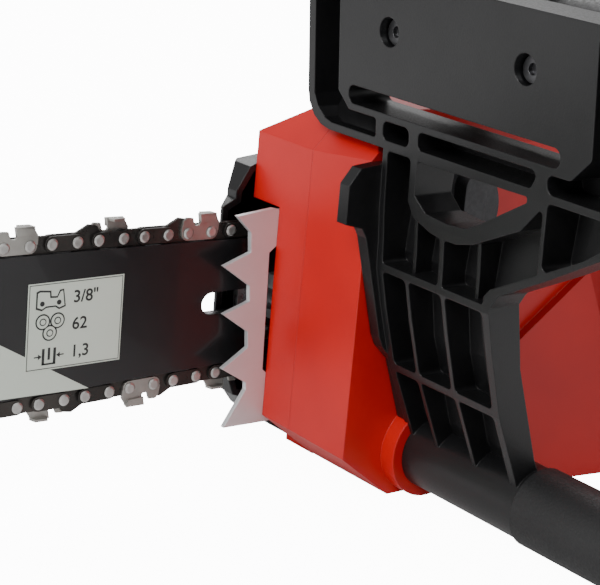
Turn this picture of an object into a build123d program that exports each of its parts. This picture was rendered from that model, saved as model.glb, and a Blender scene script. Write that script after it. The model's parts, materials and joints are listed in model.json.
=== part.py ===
"""Corded electric chainsaw: 18 inch laminated bar, 3/8 inch low-profile chain, wrap handle with ribbed guard.

Frame, in millimetres: origin on the flat base under the drive sprocket, on the bar's mid-plane.
The bar points to -X, the saw's left side is -Y, +Z is up. Bar axis and sprocket axis are at Z = 62.
"""

import math
import os

from build123d import *

os.makedirs("parts", exist_ok=True)

# ---------------------------------------------------------------- driving dimensions
AXIS_Z = 62.0                  # bar axis, sprocket axis and motor axis above the base
LEFT_Y = -57.5                 # left face of the front body
WALL = 2.8                     # housing wall
PART_Y = -28.0                 # joint plane of the two housing halves, and the motor axis
FRONT_X = -63.5                # front face of the housing
TOP_Z = 140.0                  # top of the housing
BAY_Y = -11.5                  # housing wall that the bar bears against

# chain: 62 links of 3/8 inch low-profile pitch, 1.3 mm gauge
LINK_COUNT = 62
STRAP_SPAN = 10.0              # rivet to rivet in a tie strap
DRIVE_SPAN = 8.6               # rivet to rivet in a drive link
LINK_PITCH = STRAP_SPAN + DRIVE_SPAN
GAUGE = 1.3
STRAP_T = 1.1
RIVET_R = 1.45
RIVET_HEAD_R = 2.1
RIVET_REACH = 2.5              # half length over the rivet heads
RAIL_DROP = 3.3                # rivet line above the bar's rail
FIRST_RIVET = 106.2            # path length from the sprocket's rear to the front rivet of strap 0

# rivet line over the bar, upper half (the lower half mirrors it)
SPROCKET_R = 17.8
NOSE_R = 26.6
TAIL_R = 150.0
CROWN_R = 5437.0
CROWN_X = -232.5
CROWN_H = 29.3
TAIL_X = -42.5

# bar
BAR_SIDE_T = 1.35
BAR_T = GAUGE + 0.1 + 2 * BAR_SIDE_T
GROOVE_DEPTH = 6.4
SLOT_FRONT_X = -88.0
SLOT_REAR_X = -37.5
SLOT_W = 8.3

# motor and bevel drive
MOTOR_Z = AXIS_Z
STATOR_R = 45.0
PINION_TEETH = 9
GEAR_TEETH = 33
MODULE = 2.0
FACE_W = 10.0
SHAFT_R = 6.0

# front handle
TUBE_X = -26.0
TUBE_Z = 17.5
TUBE_R = 11.0
SLEEVE_R = 13.4
GRIP_R = 14.35
LEG_Y = -215.0                 # outer upright of the handle bow
BOW_X = 8.0                    # upper run of the bow
BOW_Z = 172.0
BOW_END_Y = -22.0
GRIP_START_Y = -122.5
GRIP_END_Y = -57.0
BEND_R = 32.0
STAY_YS = (-64.5, -130.0)      # the two screwed stays between guard and bow
GUARD_TOP_Z = 191.0

# bar bay and bar studs
HOOD_Z = 99.0                  # underside of the hood over the chain
BAY_REAR_X = 50.0
STUD_XS = (-58.5, -42.5)
SPIKE_SCREW_X = -52.0
SPIKE_SCREW_ZS = (25.2, 91.2)

# oil filler
CAP_X = -24.5
CAP_Z = 108.0
NECK_R = 14.0
NECK_BORE = 12.0

# rear handle controls
TRIGGER_X = 239.0              # trigger pivot
TRIGGER_Z = 98.0
TRIGGER_W = 12.0
BUTTON_X = 300.0
BUTTON_Z = 103.0
BUTTON_R = 6.0
GLAND_Z = 44.0
GLAND_R = 7.5
VENT_COUNT = 7


def save(builder, name):
    """Label a finished piece and write it as its own STEP file."""
    builder.part.label = name
    export_step(builder.part, f"parts/{name}.step")


def bisect(function, low, high):
    """Root of a falling function between low and high."""
    for _ in range(80):
        middle = (low + high) / 2
        if function(middle) > 0:
            low = middle
        else:
            high = middle
    return low


# ---------------------------------------------------------------- chain path
CROWN_TURN = math.asin((TAIL_X - CROWN_X) / CROWN_R)
TAIL_H = CROWN_H - CROWN_R * (1 - math.cos(CROWN_TURN))


def tail_ends(rise):
    """Ends of the straight run from the sprocket to the bar's tail, for a given rise angle."""
    start = (
        TAIL_X + TAIL_R * (math.sin(rise) - math.sin(CROWN_TURN)),
        TAIL_H - TAIL_R * (math.cos(CROWN_TURN) - math.cos(rise)),
    )
    leave = (SPROCKET_R * math.sin(rise), SPROCKET_R * math.cos(rise))
    return start, leave


def tail_miss(rise):
    start, leave = tail_ends(rise)
    return (start[0] - leave[0]) * math.sin(rise) + (start[1] - leave[1]) * math.cos(rise)


RISE = bisect(tail_miss, math.radians(3), math.radians(25))
TAIL_START, SPROCKET_LEAVE = tail_ends(RISE)
STRAIGHT = math.dist(TAIL_START, SPROCKET_LEAVE)
REAR_RUN = (
    SPROCKET_R * (math.pi / 2 - RISE) + STRAIGHT + TAIL_R * (RISE - CROWN_TURN) + CROWN_R * CROWN_TURN
)
HALF_CHAIN = LINK_COUNT * LINK_PITCH / 2


def front_turn(radius):
    return math.acos((radius - CROWN_H) / (radius - NOSE_R))


def front_spare(radius):
    """Chain left over when the front of the bar has this crown radius."""
    turn = front_turn(radius)
    return HALF_CHAIN - REAR_RUN - radius * turn - NOSE_R * (math.pi / 2 - turn)


FRONT_R = bisect(front_spare, 3000.0, 60000.0)
FRONT_TURN = front_turn(FRONT_R)
NOSE_X = CROWN_X - (FRONT_R - NOSE_R) * math.sin(FRONT_TURN)

# each stretch: radius (None for the straight) and length, from the sprocket's rear over the top
STRETCHES = [
    (SPROCKET_R, SPROCKET_R * (math.pi / 2 - RISE)),
    (None, STRAIGHT),
    (TAIL_R, TAIL_R * (RISE - CROWN_TURN)),
    (CROWN_R, CROWN_R * CROWN_TURN),
    (FRONT_R, FRONT_R * FRONT_TURN),
    (NOSE_R, NOSE_R * (math.pi / 2 - FRONT_TURN)),
]


def half_path(distance):
    """Point and heading on the upper half of the rivet line, measured from the bar axis."""
    x, z, heading = SPROCKET_R, 0.0, math.pi / 2
    for radius, length in STRETCHES:
        step = min(distance, length)
        if radius is None:
            x += step * math.cos(heading)
            z += step * math.sin(heading)
        else:
            turn = step / radius
            x += radius * (math.sin(heading + turn) - math.sin(heading))
            z += radius * (math.cos(heading) - math.cos(heading + turn))
            heading += turn
        distance -= step
        if distance <= 0:
            break
    return x, z, heading


def chain_point(distance):
    """Point on the closed rivet line, in the frame's X and Z."""
    distance %= 2 * HALF_CHAIN
    if distance <= HALF_CHAIN:
        x, z, _ = half_path(distance)
        return x, AXIS_Z + z
    x, z, _ = half_path(2 * HALF_CHAIN - distance)
    return x, AXIS_Z - z


def link_place(rear, front):
    """Plane between two rivets: x along the chain's travel, y out of the bar, z to the right of the saw."""
    x0, z0 = chain_point(rear)
    x1, z1 = chain_point(front)
    return Plane(
        origin=((x0 + x1) / 2, 0, (z0 + z1) / 2), x_dir=(x1 - x0, 0, z1 - z0), z_dir=(0, 1, 0)
    )


def strap_plane(index):
    front = FIRST_RIVET + index * LINK_PITCH
    return link_place(front - STRAP_SPAN, front)


def drive_plane(index):
    rear = FIRST_RIVET + index * LINK_PITCH
    return link_place(rear, rear + DRIVE_SPAN)


# ---------------------------------------------------------------- chain pieces
# In a link plane x points along the chain's travel, y out of the bar and z to the saw's right.
LEFT_CUTTERS = [index for index in range(LINK_COUNT) if index % 4 == 1]
RIGHT_CUTTERS = [index for index in range(LINK_COUNT) if index % 4 == 3]
BUMPERS = [index for index in range(LINK_COUNT) if index % 2 == 1]
STRAP_Z = GAUGE / 2 + 0.02


def rivet_holes(span):
    with Locations((-span / 2, 0), (span / 2, 0)):
        Circle(RIVET_R + 0.12, mode=Mode.SUBTRACT)


def drive_link(bumper):
    """Centre link with its drive tang, and on every second one the ramp that guards the cutter."""
    with BuildPart() as link:
        with BuildSketch(Plane.XY.offset(-GAUGE / 2)):
            with Locations((-DRIVE_SPAN / 2, 0), (DRIVE_SPAN / 2, 0)):
                Circle(3.1)
            with BuildLine():
                Polyline((-6.6, -1.8), (-2.4, -7.6), (1.4, -7.9), (6.4, -1.8), (5.2, 2.8),
                    (-5.2, 2.8), close=True)
            make_face()
            if bumper:
                with BuildLine():
                    Polyline((-5.6, 2.0), (-3.8, 5.0), (-0.6, 5.6), (6.2, 2.0), close=True)
                make_face()
            rivet_holes(DRIVE_SPAN)
        extrude(amount=GAUGE)
    return link.part


def tie_strap():
    """Side plate of the chain, lying on the right of the drive links."""
    with BuildPart() as strap:
        with BuildSketch(Plane.XY.offset(STRAP_Z)):
            SlotCenterToCenter(STRAP_SPAN, 5.5)
            rivet_holes(STRAP_SPAN)
        extrude(amount=STRAP_T)
    return strap.part


def cutter():
    """Cutter link: base plate with the depth gauge in front and the tooth behind, hooked over the bar."""
    with BuildPart() as tooth:
        with BuildSketch(Plane.XY.offset(STRAP_Z)):
            SlotCenterToCenter(STRAP_SPAN, 5.5)
            with BuildLine():
                Polyline(
                    (8.0, 0.8), (7.4, 4.6), (6.0, 5.7), (3.4, 5.5), (2.6, 3.0), (1.2, 2.2), (0.2, 3.4),
                    (0.9, 7.0), (-6.4, 6.2), (-8.1, 3.6), (-8.0, 0.5), close=True,
                )
            make_face()
            rivet_holes(STRAP_SPAN)
        extrude(amount=STRAP_T)
        # top plate: leans out of the chain and hooks back over its middle, with a slanted cutting edge
        with BuildSketch(Plane.XZ.offset(-6.1)):
            with BuildLine():
                Polyline((0.9, 2.6), (-0.9, -1.3), (-5.6, -0.9), (-6.4, 2.2), close=True)
            make_face()
        extrude(amount=-0.95)
        with BuildSketch(Plane.XY.offset(STRAP_Z + STRAP_T)):
            with BuildLine():
                Polyline((0.8, 7.05), (0.5, 4.0), (-5.8, 4.2), (-6.4, 6.2), close=True)
            make_face()
        extrude(amount=0.85)
    return tooth.part


def chain_set(planes, piece, flip=False):
    """Copies of one link at many link planes, mirrored to the chain's left side where asked."""
    source = mirror(piece, about=Plane.XY, mode=Mode.PRIVATE) if flip else piece
    with BuildPart() as group:
        add([source.moved(plane.location) for plane in planes])
    return group


plain_left = [strap_plane(i) for i in range(LINK_COUNT) if i not in LEFT_CUTTERS]
plain_right = [strap_plane(i) for i in range(LINK_COUNT) if i not in RIGHT_CUTTERS]
plain_drives = [drive_plane(i) for i in range(LINK_COUNT) if i not in BUMPERS]

with BuildPart() as chain_drive_links:
    add(chain_set(plain_drives, drive_link(False)).part)
    add(chain_set([drive_plane(i) for i in BUMPERS], drive_link(True)).part)
save(chain_drive_links, "chain_drive_links")
with BuildPart() as chain_tie_straps:
    add(chain_set(plain_left, tie_strap(), flip=True).part)
    add(chain_set(plain_right, tie_strap()).part)
save(chain_tie_straps, "chain_tie_straps")
chain_cutters_left = chain_set([strap_plane(i) for i in LEFT_CUTTERS], cutter(), flip=True)
save(chain_cutters_left, "chain_cutters_left")
chain_cutters_right = chain_set([strap_plane(i) for i in RIGHT_CUTTERS], cutter())
save(chain_cutters_right, "chain_cutters_right")

with BuildPart() as rivet:
    Cylinder(RIVET_R, 2 * RIVET_REACH - 1.0)
    with BuildSketch(Plane.XZ):
        with BuildLine():
            Polyline((0, 1.9), (RIVET_HEAD_R, 1.9), (RIVET_HEAD_R, 2.1), (1.5, RIVET_REACH),
                (0, RIVET_REACH), close=True)
        make_face()
    revolve(axis=Axis.Z)
    mirror(about=Plane.XY)


def rivet_location(distance):
    x, z = chain_point(distance)
    return Plane(origin=(x, 0, z), z_dir=(0, -1, 0)).location


with BuildPart() as chain_rivets:
    add([
        rivet.part.moved(rivet_location(FIRST_RIVET + link * LINK_PITCH - back))
        for link in range(LINK_COUNT)
        for back in (0.0, STRAP_SPAN)
    ])
save(chain_rivets, "chain_rivets")

# ---------------------------------------------------------------- bar


def bar_outline(drop, tail_x):
    """Outline of the bar, a given distance inside the rivet line, cut square at its tail."""
    start = half_path(STRETCHES[0][1] + STRAIGHT)
    with BuildLine() as upper:
        crown_start = (
            TAIL_X + drop * math.sin(-CROWN_TURN),
            AXIS_Z + TAIL_H - drop * math.cos(CROWN_TURN),
        )
        peak = (CROWN_X, AXIS_Z + CROWN_H - drop)
        nose_top = (
            NOSE_X - (NOSE_R - drop) * math.sin(FRONT_TURN),
            AXIS_Z + (NOSE_R - drop) * math.cos(FRONT_TURN),
        )
        tail_top = (start[0] - drop * math.sin(RISE), AXIS_Z + start[1] - drop * math.cos(RISE))
        Line((tail_x, AXIS_Z), (tail_x, tail_top[1] - 5.0))
        Line((tail_x, tail_top[1] - 5.0), tail_top)
        RadiusArc(tail_top, crown_start, -(TAIL_R - drop))
        RadiusArc(crown_start, peak, -(CROWN_R - drop))
        RadiusArc(peak, nose_top, -(FRONT_R - drop))
        RadiusArc(nose_top, (NOSE_X - (NOSE_R - drop), AXIS_Z), -(NOSE_R - drop))
        mirror(about=Plane.XZ.offset(-AXIS_Z))
    return upper.line


BAR_TAIL_X = -24.0
SIDE_PLANE = Plane(origin=(0, 0, 0), x_dir=(1, 0, 0), z_dir=(0, -1, 0))


def bar_sheet(drop, low_y, thickness, nose_cut=0.0):
    """One flat layer of the bar, with the mounting slot and the tensioner and oil holes."""
    with BuildPart() as sheet:
        with BuildSketch(SIDE_PLANE.offset(-(low_y + thickness))):
            add(bar_outline(drop, BAR_TAIL_X))
            make_face()
            with Locations(((SLOT_FRONT_X + SLOT_REAR_X) / 2, AXIS_Z)):
                SlotOverall(SLOT_REAR_X - SLOT_FRONT_X, SLOT_W, mode=Mode.SUBTRACT)
            with Locations((-50, AXIS_Z + 12.5), (-50, AXIS_Z - 12.5)):
                Circle(3.1, mode=Mode.SUBTRACT)
            if nose_cut:
                with Locations((NOSE_X, AXIS_Z)):
                    Circle(nose_cut, mode=Mode.SUBTRACT)
            else:
                with Locations((NOSE_X, AXIS_Z)):
                    Circle(3.05, mode=Mode.SUBTRACT)
        extrude(amount=thickness)
    return sheet


CORE_T = GAUGE + 0.1
bar_plate_left = bar_sheet(RAIL_DROP, -BAR_T / 2, BAR_SIDE_T)
save(bar_plate_left, "bar_plate_left")
bar_plate_right = bar_sheet(RAIL_DROP, BAR_T / 2 - BAR_SIDE_T, BAR_SIDE_T)
save(bar_plate_right, "bar_plate_right")
bar_core = bar_sheet(RAIL_DROP + GROOVE_DEPTH, -CORE_T / 2, CORE_T, nose_cut=24.0)
save(bar_core, "bar_core")

# star wheel in the nose: nine slots that take the drive tangs
NOSE_DRIVE = chain_point(FIRST_RIVET + 26 * LINK_PITCH + DRIVE_SPAN / 2)
nose_angle = math.atan2(NOSE_DRIVE[1] - AXIS_Z, NOSE_DRIVE[0] - NOSE_X)
with BuildPart() as nose_sprocket:
    with BuildSketch(SIDE_PLANE.offset(-0.6)):
        with Locations((NOSE_X, AXIS_Z)):
            Circle(22.0)
            Circle(4.2, mode=Mode.SUBTRACT)
        for tooth_index in range(9):
            angle = nose_angle + tooth_index * 2 * math.pi / 9
            with Locations((NOSE_X + 22.0 * math.cos(angle), AXIS_Z + 22.0 * math.sin(angle))):
                Circle(5.2, mode=Mode.SUBTRACT)
    extrude(amount=1.2)
save(nose_sprocket, "nose_sprocket")

with BuildPart() as nose_rivets:
    with BuildSketch(SIDE_PLANE.offset(-BAR_T / 2)):
        with Locations((NOSE_X, AXIS_Z)):
            Circle(3.0)
    extrude(amount=BAR_T)
    with BuildSketch(SIDE_PLANE.offset(-CORE_T / 2)):
        with Locations((NOSE_X, AXIS_Z)):
            Circle(4.0)
    extrude(amount=CORE_T)
save(nose_rivets, "nose_rivets")

# ---------------------------------------------------------------- sprocket, its shaft and the bearings


def ring(outer, inner, low_y, high_y, x=0.0, z=AXIS_Z):
    """Flat ring about an axis along Y."""
    with BuildPart() as piece:
        with BuildSketch(SIDE_PLANE.offset(-high_y)):
            with Locations((x, z)):
                Circle(outer)
                if inner:
                    Circle(inner, mode=Mode.SUBTRACT)
        extrude(amount=high_y - low_y)
    return piece


DRIVE_ON_SPROCKET = chain_point(FIRST_RIVET - 6 * LINK_PITCH + DRIVE_SPAN / 2)
slot_angle = math.atan2(DRIVE_ON_SPROCKET[1] - AXIS_Z, DRIVE_ON_SPROCKET[0])
with BuildPart() as drive_sprocket:
    with BuildSketch(SIDE_PLANE.offset(-5.0)):
        with Locations((0, AXIS_Z)):
            Circle(14.2)
            Circle(SHAFT_R + 0.02, mode=Mode.SUBTRACT)
        for tooth_index in range(6):
            angle = slot_angle + tooth_index * math.pi / 3
            with Locations((15.6 * math.cos(angle), AXIS_Z + 15.6 * math.sin(angle))):
                Circle(6.5, mode=Mode.SUBTRACT)
    extrude(amount=10.0)
save(drive_sprocket, "drive_sprocket")

with BuildPart() as sprocket_shaft:
    with BuildSketch(Plane.XY):
        with BuildLine():
            Polyline(
                (0, -53.0), (4.0, -53.0), (4.0, -46.2), (SHAFT_R, -46.2), (SHAFT_R, 7.2), (5.0, 7.2),
                (5.0, 8.4), (SHAFT_R, 8.4), (SHAFT_R - 0.6, 10.2), (0, 10.2), close=True,
            )
        make_face()
    revolve(axis=Axis.Y)
sprocket_shaft.part = sprocket_shaft.part.moved(Location((0, 0, AXIS_Z)))
save(sprocket_shaft, "sprocket_shaft")

with BuildPart() as sprocket_clip:
    with BuildSketch(SIDE_PLANE.offset(-8.3)):
        with Locations((0, AXIS_Z)):
            Circle(9.0)
            Circle(5.05, mode=Mode.SUBTRACT)
        with Locations((6.0, AXIS_Z)):
            Rectangle(8.0, 6.0, mode=Mode.SUBTRACT)
    extrude(amount=1.0)
save(sprocket_clip, "sprocket_clip")


def ball_bearing(bore, outer, width):
    """Deep-groove bearing standing on the XY plane: two races and a ring of balls, kept apart."""
    middle = (bore + outer) / 2
    with BuildPart() as bearing:
        with BuildSketch():
            Circle(outer)
            Circle(middle + 1.6, mode=Mode.SUBTRACT)
        extrude(amount=width)
        with BuildSketch():
            Circle(middle - 1.6)
            Circle(bore, mode=Mode.SUBTRACT)
        extrude(amount=width)
        with Locations((0, 0, width / 2)):
            with PolarLocations(middle, 8):
                Sphere(1.5)
    return bearing.part


with BuildPart() as shaft_bearings:
    add(ball_bearing(SHAFT_R + 0.02, 14.0, 8.0).moved(Plane(origin=(0, -22.4, AXIS_Z),
        z_dir=(0, 1, 0)).location))
    add(ball_bearing(4.02, 11.0, 6.5).moved(Plane(origin=(0, -53, AXIS_Z), z_dir=(0, 1, 0)).location))
save(shaft_bearings, "shaft_bearings")

# ---------------------------------------------------------------- bevel pair
GEAR_R = MODULE * GEAR_TEETH / 2
PINION_R = MODULE * PINION_TEETH / 2
CONE = math.hypot(GEAR_R, PINION_R)
SHRINK = (CONE - FACE_W) / CONE
ADDENDUM = 0.9 * MODULE
DEDENDUM = 1.3 * MODULE
HALF_TOOTH = math.pi * MODULE / 4 - 0.42
FLANK = math.tan(math.radians(22))


def bevel_tooth(radius, depth):
    """One straight tooth whose sides run to the common apex, depth away from the pitch circle's plane."""
    along = Vector(radius, 0, -depth).normalized()
    outward = Vector(depth, 0, radius).normalized() if depth > 0 else Vector(-depth, 0, radius).normalized()
    apex = Vector(0, 0, depth)
    with BuildPart() as tooth:
        for share in (1.0, SHRINK):
            centre = apex + Vector(radius, 0, -depth) * share
            with BuildSketch(Plane(origin=centre, x_dir=(0, 1, 0), z_dir=along)) as section:
                side = 1 if section.workplanes[0].y_dir.dot(outward) > 0 else -1
                low, high = -side * (DEDENDUM + 0.4) * share, side * ADDENDUM * share
                wide = (HALF_TOOTH + (DEDENDUM + 0.4) * FLANK) * share
                narrow = (HALF_TOOTH - ADDENDUM * FLANK) * share
                with BuildLine():
                    Polyline((-wide, low), (wide, low), (narrow, high), (-narrow, high), close=True)
                make_face()
        loft(ruled=True)
    return tooth.part


def root_point(radius, depth, share):
    """Radius and height of the tooth root at a share of the cone distance."""
    x = radius * share
    z = depth - depth * share
    size = math.hypot(radius, depth)
    return x - DEDENDUM * share * depth / size, z - DEDENDUM * share * radius / size


# gear: pitch circle in its XY plane, apex 9 mm above it
gear_out = root_point(GEAR_R, PINION_R, 1.0)
gear_in = root_point(GEAR_R, PINION_R, SHRINK)
with BuildPart() as gear_blank:
    with BuildSketch(Plane.XZ):
        with BuildLine():
            Polyline(
                (13.1, -8.0), (GEAR_R, -8.0), (GEAR_R + 0.6, -4.0), gear_out, gear_in,
                (gear_in[0] - 2.0, gear_in[1] - 0.5), (18.0, -3.0), (13.1, -3.0), close=True,
            )
        make_face()
    revolve(axis=Axis.Z)
    gear_tooth = bevel_tooth(GEAR_R, PINION_R)
    for tooth_index in range(GEAR_TEETH):
        add(gear_tooth.rotate(Axis.Z, tooth_index * 360.0 / GEAR_TEETH))

GEAR_PLANE = Plane(origin=(0, PART_Y - PINION_R, AXIS_Z), x_dir=(1, 0, 0), z_dir=(0, 1, 0))
with BuildPart() as bevel_gear:
    add(gear_blank.part.moved(GEAR_PLANE.location))
save(bevel_gear, "bevel_gear")

# slip clutch hub keyed to the shaft, gripped in the gear by a disc spring
with BuildPart() as clutch_hub:
    with BuildSketch(SIDE_PLANE.offset(45.2)):
        with Locations((0, AXIS_Z)):
            Circle(16.0)
            Circle(SHAFT_R + 0.02, mode=Mode.SUBTRACT)
    extrude(amount=0.9)
    with BuildSketch(SIDE_PLANE.offset(39.3)):
        with Locations((0, AXIS_Z)):
            Circle(13.0)
            Circle(SHAFT_R + 0.02, mode=Mode.SUBTRACT)
    extrude(amount=6.3)
save(clutch_hub, "clutch_hub")
with BuildPart() as clutch_spring:
    with BuildSketch(Plane.XY):
        with BuildLine():
            Polyline((8.2, -36.4), (9.0, -36.4), (16.5, -39.2), (16.5, -39.9), (15.7, -39.9),
                (8.2, -37.2), close=True)
        make_face()
    revolve(axis=Axis.Y)
clutch_spring.part = clutch_spring.part.moved(Location((0, 0, AXIS_Z)))
save(clutch_spring, "clutch_spring")

# pinion: pitch circle in its XY plane, apex 33 mm below it; half a tooth turned so that it meshes
with BuildPart() as pinion_blank:
    with BuildSketch(Plane.XZ):
        size = CONE
        out_r = PINION_R - DEDENDUM * GEAR_R / size
        out_z = DEDENDUM * PINION_R / size
        in_r = PINION_R * SHRINK - DEDENDUM * SHRINK * GEAR_R / size
        in_z = -GEAR_R * (1 - SHRINK) + DEDENDUM * SHRINK * PINION_R / size
        with BuildLine():
            Polyline((3.02, in_z - 0.6), (in_r, in_z - 0.6), (in_r, in_z), (out_r, out_z), (out_r, 3.2),
                (3.02, 3.2), close=True)
        make_face()
    revolve(axis=Axis.Z)
    pinion_tooth = bevel_tooth(PINION_R, -GEAR_R)
    for tooth_index in range(PINION_TEETH):
        add(pinion_tooth.rotate(Axis.Z, (tooth_index + 0.5) * 360.0 / PINION_TEETH))

PINION_PLANE = Plane(origin=(GEAR_R, PART_Y, AXIS_Z), x_dir=(0, -1, 0), z_dir=(1, 0, 0))
with BuildPart() as bevel_pinion:
    add(pinion_blank.part.moved(PINION_PLANE.location))
save(bevel_pinion, "bevel_pinion")

# ---------------------------------------------------------------- motor, on an axis along X through PART_Y
MOTOR_PLANE = Plane(origin=(0, PART_Y, MOTOR_Z), x_dir=(0, 1, 0), z_dir=(1, 0, 0))


def turned(profile):
    """Body of revolution about the motor axis from (distance along X, radius) points."""
    with BuildPart() as piece:
        with BuildSketch(Plane.XY):
            with BuildLine():
                Polyline(*profile, close=True)
            make_face()
        revolve(axis=Axis.X)
    piece.part = piece.part.moved(Location((0, PART_Y, MOTOR_Z)))
    return piece


rotor_shaft = turned([
    (23.0, 0), (23.0, 3.0), (37.0, 3.0), (37.0, 6.0), (156.0, 6.0), (156.0, 4.0), (167.0, 4.0), (167.0, 0),
])
save(rotor_shaft, "rotor_shaft")

ROTOR_SLOTS = 12
with BuildPart() as rotor_core:
    with BuildSketch(MOTOR_PLANE.offset(78.0)):
        Circle(25.0)
        Circle(6.02, mode=Mode.SUBTRACT)
        with PolarLocations(19.0, ROTOR_SLOTS):
            SlotOverall(9.0, 5.0, mode=Mode.SUBTRACT)
        with PolarLocations(24.0, ROTOR_SLOTS):
            Rectangle(4.0, 1.8, mode=Mode.SUBTRACT)
    extrude(amount=46.0)
save(rotor_core, "rotor_core")
with BuildPart() as rotor_winding:
    with BuildSketch(MOTOR_PLANE.offset(72.0)):
        with PolarLocations(19.0, ROTOR_SLOTS):
            SlotOverall(8.6, 4.6)
    extrude(amount=58.0)
    for start in (72.0, 124.1):
        with BuildSketch(MOTOR_PLANE.offset(start)):
            Circle(22.0)
            Circle(9.0, mode=Mode.SUBTRACT)
        extrude(amount=5.9)
save(rotor_winding, "rotor_winding")
with BuildPart() as commutator:
    with BuildSketch(MOTOR_PLANE.offset(132.0)):
        Circle(14.0)
        Circle(6.02, mode=Mode.SUBTRACT)
    extrude(amount=18.0)
save(commutator, "commutator")

FAN_BLADES = 11
with BuildPart() as cooling_fan:
    with BuildSketch(MOTOR_PLANE.offset(58.0)):
        Circle(32.0)
        Circle(6.02, mode=Mode.SUBTRACT)
    extrude(amount=2.0)
    with BuildSketch(MOTOR_PLANE.offset(60.0)):
        Circle(10.0)
        Circle(6.02, mode=Mode.SUBTRACT)
    extrude(amount=8.0)
    with BuildSketch(MOTOR_PLANE.offset(60.0)):
        with PolarLocations(21.0, FAN_BLADES):
            Rectangle(20.0, 1.6, rotation=28)
    extrude(amount=8.0)
save(cooling_fan, "cooling_fan")

with BuildPart() as motor_bearings:
    add(ball_bearing(6.02, 13.0, 8.0).moved(MOTOR_PLANE.offset(38.5).location))
    add(ball_bearing(4.02, 11.0, 7.0).moved(MOTOR_PLANE.offset(158.0).location))
save(motor_bearings, "motor_bearings")

STATOR_FROM, STATOR_TO = 78.0, 124.0
with BuildPart() as stator_core:
    with BuildSketch(MOTOR_PLANE.offset(STATOR_FROM)):
        Circle(STATOR_R)
        Circle(36.0, mode=Mode.SUBTRACT)
        with PolarLocations(31.5, 2):
            Rectangle(11.0, 30.0)
        Circle(25.6, mode=Mode.SUBTRACT)
    extrude(amount=STATOR_TO - STATOR_FROM)
save(stator_core, "stator_core")
with BuildPart() as field_coils:
    for side in (1, -1):
        with BuildSketch(MOTOR_PLANE.offset(STATOR_FROM - 7.0)):
            with Locations((0, side * 31.0)):
                Rectangle(20.0, 6.8)
        extrude(amount=STATOR_TO - STATOR_FROM + 14.0)
save(field_coils, "field_coils")

with BuildPart() as brush_holders:
    for side in (1, -1):
        with BuildSketch(MOTOR_PLANE.offset(135.0)):
            with Locations((0, side * 27.0)):
                Rectangle(12.0, 22.0)
                Rectangle(7.2, 22.0, mode=Mode.SUBTRACT)
        extrude(amount=12.0)
save(brush_holders, "brush_holders")
with BuildPart() as carbon_brushes:
    for side in (1, -1):
        with BuildSketch(MOTOR_PLANE.offset(136.0)):
            with Locations((0, side * 22.3)):
                Rectangle(7.0, 16.0)
        extrude(amount=10.0)
save(carbon_brushes, "carbon_brushes")

# aluminium gear case: one wall carries the sprocket shaft, the other the motor's front bearing
with BuildPart() as gear_case:
    with BuildSketch(SIDE_PLANE.offset(14.5)):
        with Locations((9.0, AXIS_Z)):
            RectangleRounded(74.0, 54.0, 8.0)
    extrude(amount=7.3)
    with BuildSketch(MOTOR_PLANE.offset(38.5)):
        with Locations((-5.75, 0)):
            RectangleRounded(38.5, 54.0, 8.0)
    extrude(amount=8.0)
    with Locations(Plane(origin=(0, -18, AXIS_Z), z_dir=(0, 1, 0))):
        Cylinder(14.02, 20.0, mode=Mode.SUBTRACT)
    with Locations(Plane(origin=(42, PART_Y, AXIS_Z), z_dir=(1, 0, 0))):
        Cylinder(13.02, 10.0, mode=Mode.SUBTRACT)
    with Locations(Plane(origin=(28.2, PART_Y, AXIS_Z), z_dir=(1, 0, 0))):
        Cylinder(12.0, 20.4, mode=Mode.SUBTRACT)
save(gear_case, "gear_case")
with BuildPart() as shaft_bracket:
    with BuildSketch(SIDE_PLANE.offset(46.5)):
        with Locations((0, AXIS_Z)):
            RectangleRounded(30.0, 56.0, 6.0)
            Circle(11.02, mode=Mode.SUBTRACT)
    extrude(amount=6.5)
save(shaft_bracket, "shaft_bracket")

# ---------------------------------------------------------------- housing
FRONT_BOTTOM_Z = 19.0
HANDLE_HALF = 18.0


def front_volume(inset):
    """Front of the body: narrow, faceted, chamfered front and back edges."""
    with BuildPart() as volume:
        with BuildSketch(Plane.XY.offset(inset)):
            with BuildLine():
                Polyline((FRONT_X, 4.5), (FRONT_X, PART_Y), (-61.0, LEFT_Y), (75.0, LEFT_Y),
                    (75.0, 4.5), close=True)
            make_face()
            offset(amount=-inset, kind=Kind.INTERSECTION)
        extrude(amount=TOP_Z - 2 * inset)
        with BuildSketch(SIDE_PLANE.offset(-100)):
            with BuildLine():
                Polyline(
                    (FRONT_X, FRONT_BOTTOM_Z), (FRONT_X, 124.0), (-47.5, TOP_Z), (120.0, TOP_Z),
                        (120.0, 0.0),
                    (-38.5, 0.0), close=True,
                )
            make_face()
            offset(amount=-inset, kind=Kind.INTERSECTION)
        extrude(amount=250, mode=Mode.INTERSECT)
        with BuildSketch(Plane.YZ.offset(-100)):
            with BuildLine():
                Polyline((4.5, 0), (4.5, 124.0), (-19.0, TOP_Z), (-44.0, TOP_Z), (LEFT_Y, 129.0),
                    (LEFT_Y, 0), close=True)
            make_face()
            offset(amount=-inset, kind=Kind.INTERSECTION)
        extrude(amount=250, mode=Mode.INTERSECT)
    return volume.part


def shoulder_volume(inset):
    """Raised lower left face that starts at a slanting step behind the front handle."""
    with BuildPart() as volume:
        with BuildSketch(SIDE_PLANE.offset(30.0)):
            with BuildLine():
                Polyline((-10.0, 0), (-10.0, 34.6), (60.0, 84.9), (60.0, 0), close=True)
            make_face()
            offset(amount=-inset, kind=Kind.INTERSECTION)
        extrude(amount=48.5 - inset)
        step_normal = Vector(0.145, 0.9925, -0.2025)
        split(bisect_by=Plane(origin=Vector(14, -61, 52) + step_normal * inset, z_dir=step_normal),
            keep=Keep.TOP)
    return volume.part


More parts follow.
